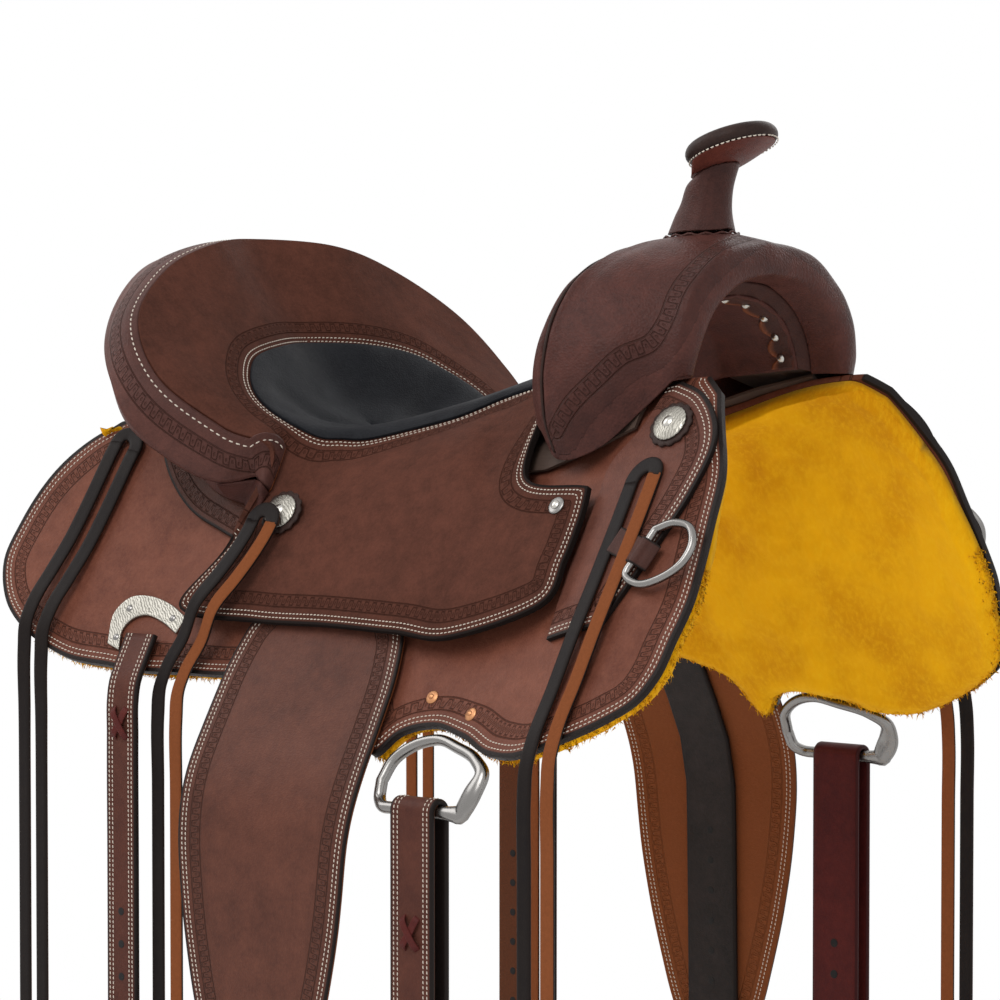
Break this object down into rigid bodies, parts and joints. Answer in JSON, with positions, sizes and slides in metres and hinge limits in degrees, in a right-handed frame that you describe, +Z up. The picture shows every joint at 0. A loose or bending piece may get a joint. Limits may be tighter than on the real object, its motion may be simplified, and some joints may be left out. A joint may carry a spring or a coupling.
{
  "type": "western trail saddle",
  "caption": "Western trail saddle with a padded seat, wrapped horn, rolled cantle, tooled skirts over fleece, swinging fenders and stirrups, billets, dees and saddle strings.",
  "frame": {"origin": "on the middle plane, at the horse's spine under the seat (mount horse_back)", "axes": "+X towards the horse's head, +Y to the horse's left, +Z up"},
  "size_m": [0.685, 0.6004, 1.0227],
  "materials": {
    "dark_leather": "oiled, fine grain",
    "warm_leather": "oiled, tooled borders",
    "black_leather": "soft, matt",
    "oxblood_leather": "burnished latigo",
    "thong_leather": "latigo thong, dark grain side",
    "fleece": "golden wool fleece",
    "wood": "plain, covered",
    "steel": "polished stainless",
    "silver": "engraved",
    "rubber": "ribbed"
  },
  "bodies": {
    "saddle": {"cantle_back": "dark_leather", "cantle_board": "wood", "cheyenne_roll": "dark_leather", "concho_front_left": "silver", "concho_front_right": "silver", "concho_rear_left": "silver", "concho_rear_right": "silver", "fleece_left": "fleece", "fleece_right": "fleece", "fork_core": "wood", "front_jockey_left": "dark_leather", "front_jockey_right": "dark_leather", "ground_seat": "wood", "gullet_lining": "black_leather", "horn_cap_cover": "dark_leather", "horn_cap_underside": "oxblood_leather", "horn_core": "wood", "horn_neck_wrap": "dark_leather", "rear_jockey_left": "dark_leather", "rear_jockey_right": "dark_leather", "rear_plate_left": "silver", "rear_plate_right": "silver", "rigging_ring_left": "steel", "rigging_ring_right": "steel", "rosette_front_left": "thong_leather", "rosette_front_right": "thong_leather", "rosette_rear_left": "thong_leather", "rosette_rear_right": "thong_leather", "seat_leather": "dark_leather", "seat_pad": "black_leather", "skirt_left": "warm_leather", "skirt_right": "warm_leather", "strings_front_left": "thong_leather", "strings_front_right": "thong_leather", "strings_middle_left": "thong_leather", "strings_middle_right": "thong_leather", "strings_rear_left": "thong_leather", "strings_rear_right": "thong_leather", "swell_cover": "dark_leather", "tree_bar_left": "wood", "tree_bar_right": "wood"},
    "fender_left_body": {"fender_left": "warm_leather", "stirrup_leather_left": "dark_leather", "hobble_strap_left": "dark_leather", "stirrup_bolt_left": "steel"},
    "stirrup_left_body": {"stirrup_left": "wood", "stirrup_tread_left": "rubber"},
    "dee_left_body": {"dee_ring_left": "steel"},
    "latigo_body": {"latigo": "oxblood_leather"},
    "rear_billet_left_body": {"rear_billet_left": "dark_leather"},
    "fender_right_body": {"fender_right": "warm_leather", "stirrup_leather_right": "dark_leather", "hobble_strap_right": "dark_leather", "stirrup_bolt_right": "steel"},
    "stirrup_right_body": {"stirrup_right": "wood", "stirrup_tread_right": "rubber"},
    "dee_right_body": {"dee_ring_right": "steel"},
    "off_billet_body": {"off_billet": "dark_leather"},
    "rear_billet_right_body": {"rear_billet_right": "dark_leather"}
  },
  "joints": [
    {"name": "fender_swing_left", "type": "hinge", "parent": "saddle", "child": "fender_left_body", "pos_m": [0.004, 0.1521, -0.04384], "axis": [0, 0.8686, 0.4955], "range_deg": [-3.5, 12]},
    {"name": "stirrup_swing_left", "type": "hinge", "parent": "fender_left_body", "child": "stirrup_left_body", "pos_m": [0.004, 0.26615, -0.59839], "axis": [1, 0, 0], "range_deg": [-35, 45]},
    {"name": "breast_dee_left", "type": "hinge", "parent": "saddle", "child": "dee_left_body", "pos_m": [0.2885, 0.18044, -0.04064], "axis": [0.3143, -0.4723, 0.8235], "range_deg": [0, 110]},
    {"name": "latigo_swing", "type": "hinge", "parent": "saddle", "child": "latigo_body", "pos_m": [0.145, 0.25093, -0.22579], "axis": [1, 0, 0], "range_deg": [-20, 45]},
    {"name": "rear_billet_swing_left", "type": "hinge", "parent": "saddle", "child": "rear_billet_left_body", "pos_m": [-0.18, 0.20736, -0.11992], "axis": [1, 0, 0], "range_deg": [0, 40]},
    {"name": "fender_swing_right", "type": "hinge", "parent": "saddle", "child": "fender_right_body", "pos_m": [0.004, -0.1521, -0.04384], "axis": [0, 0.8686, -0.4955], "range_deg": [-3.5, 12]},
    {"name": "stirrup_swing_right", "type": "hinge", "parent": "fender_right_body", "child": "stirrup_right_body", "pos_m": [0.004, -0.26615, -0.59839], "axis": [-1, 0, 0], "range_deg": [-35, 45]},
    {"name": "breast_dee_right", "type": "hinge", "parent": "saddle", "child": "dee_right_body", "pos_m": [0.2885, -0.18044, -0.04064], "axis": [-0.3143, -0.4723, -0.8235], "range_deg": [0, 110]},
    {"name": "off_billet_swing", "type": "hinge", "parent": "saddle", "child": "off_billet_body", "pos_m": [0.145, -0.25093, -0.22579], "axis": [-1, 0, 0], "range_deg": [-20, 45]},
    {"name": "rear_billet_swing_right", "type": "hinge", "parent": "saddle", "child": "rear_billet_right_body", "pos_m": [-0.18, -0.20736, -0.11992], "axis": [-1, 0, 0], "range_deg": [0, 40]}
  ]
}
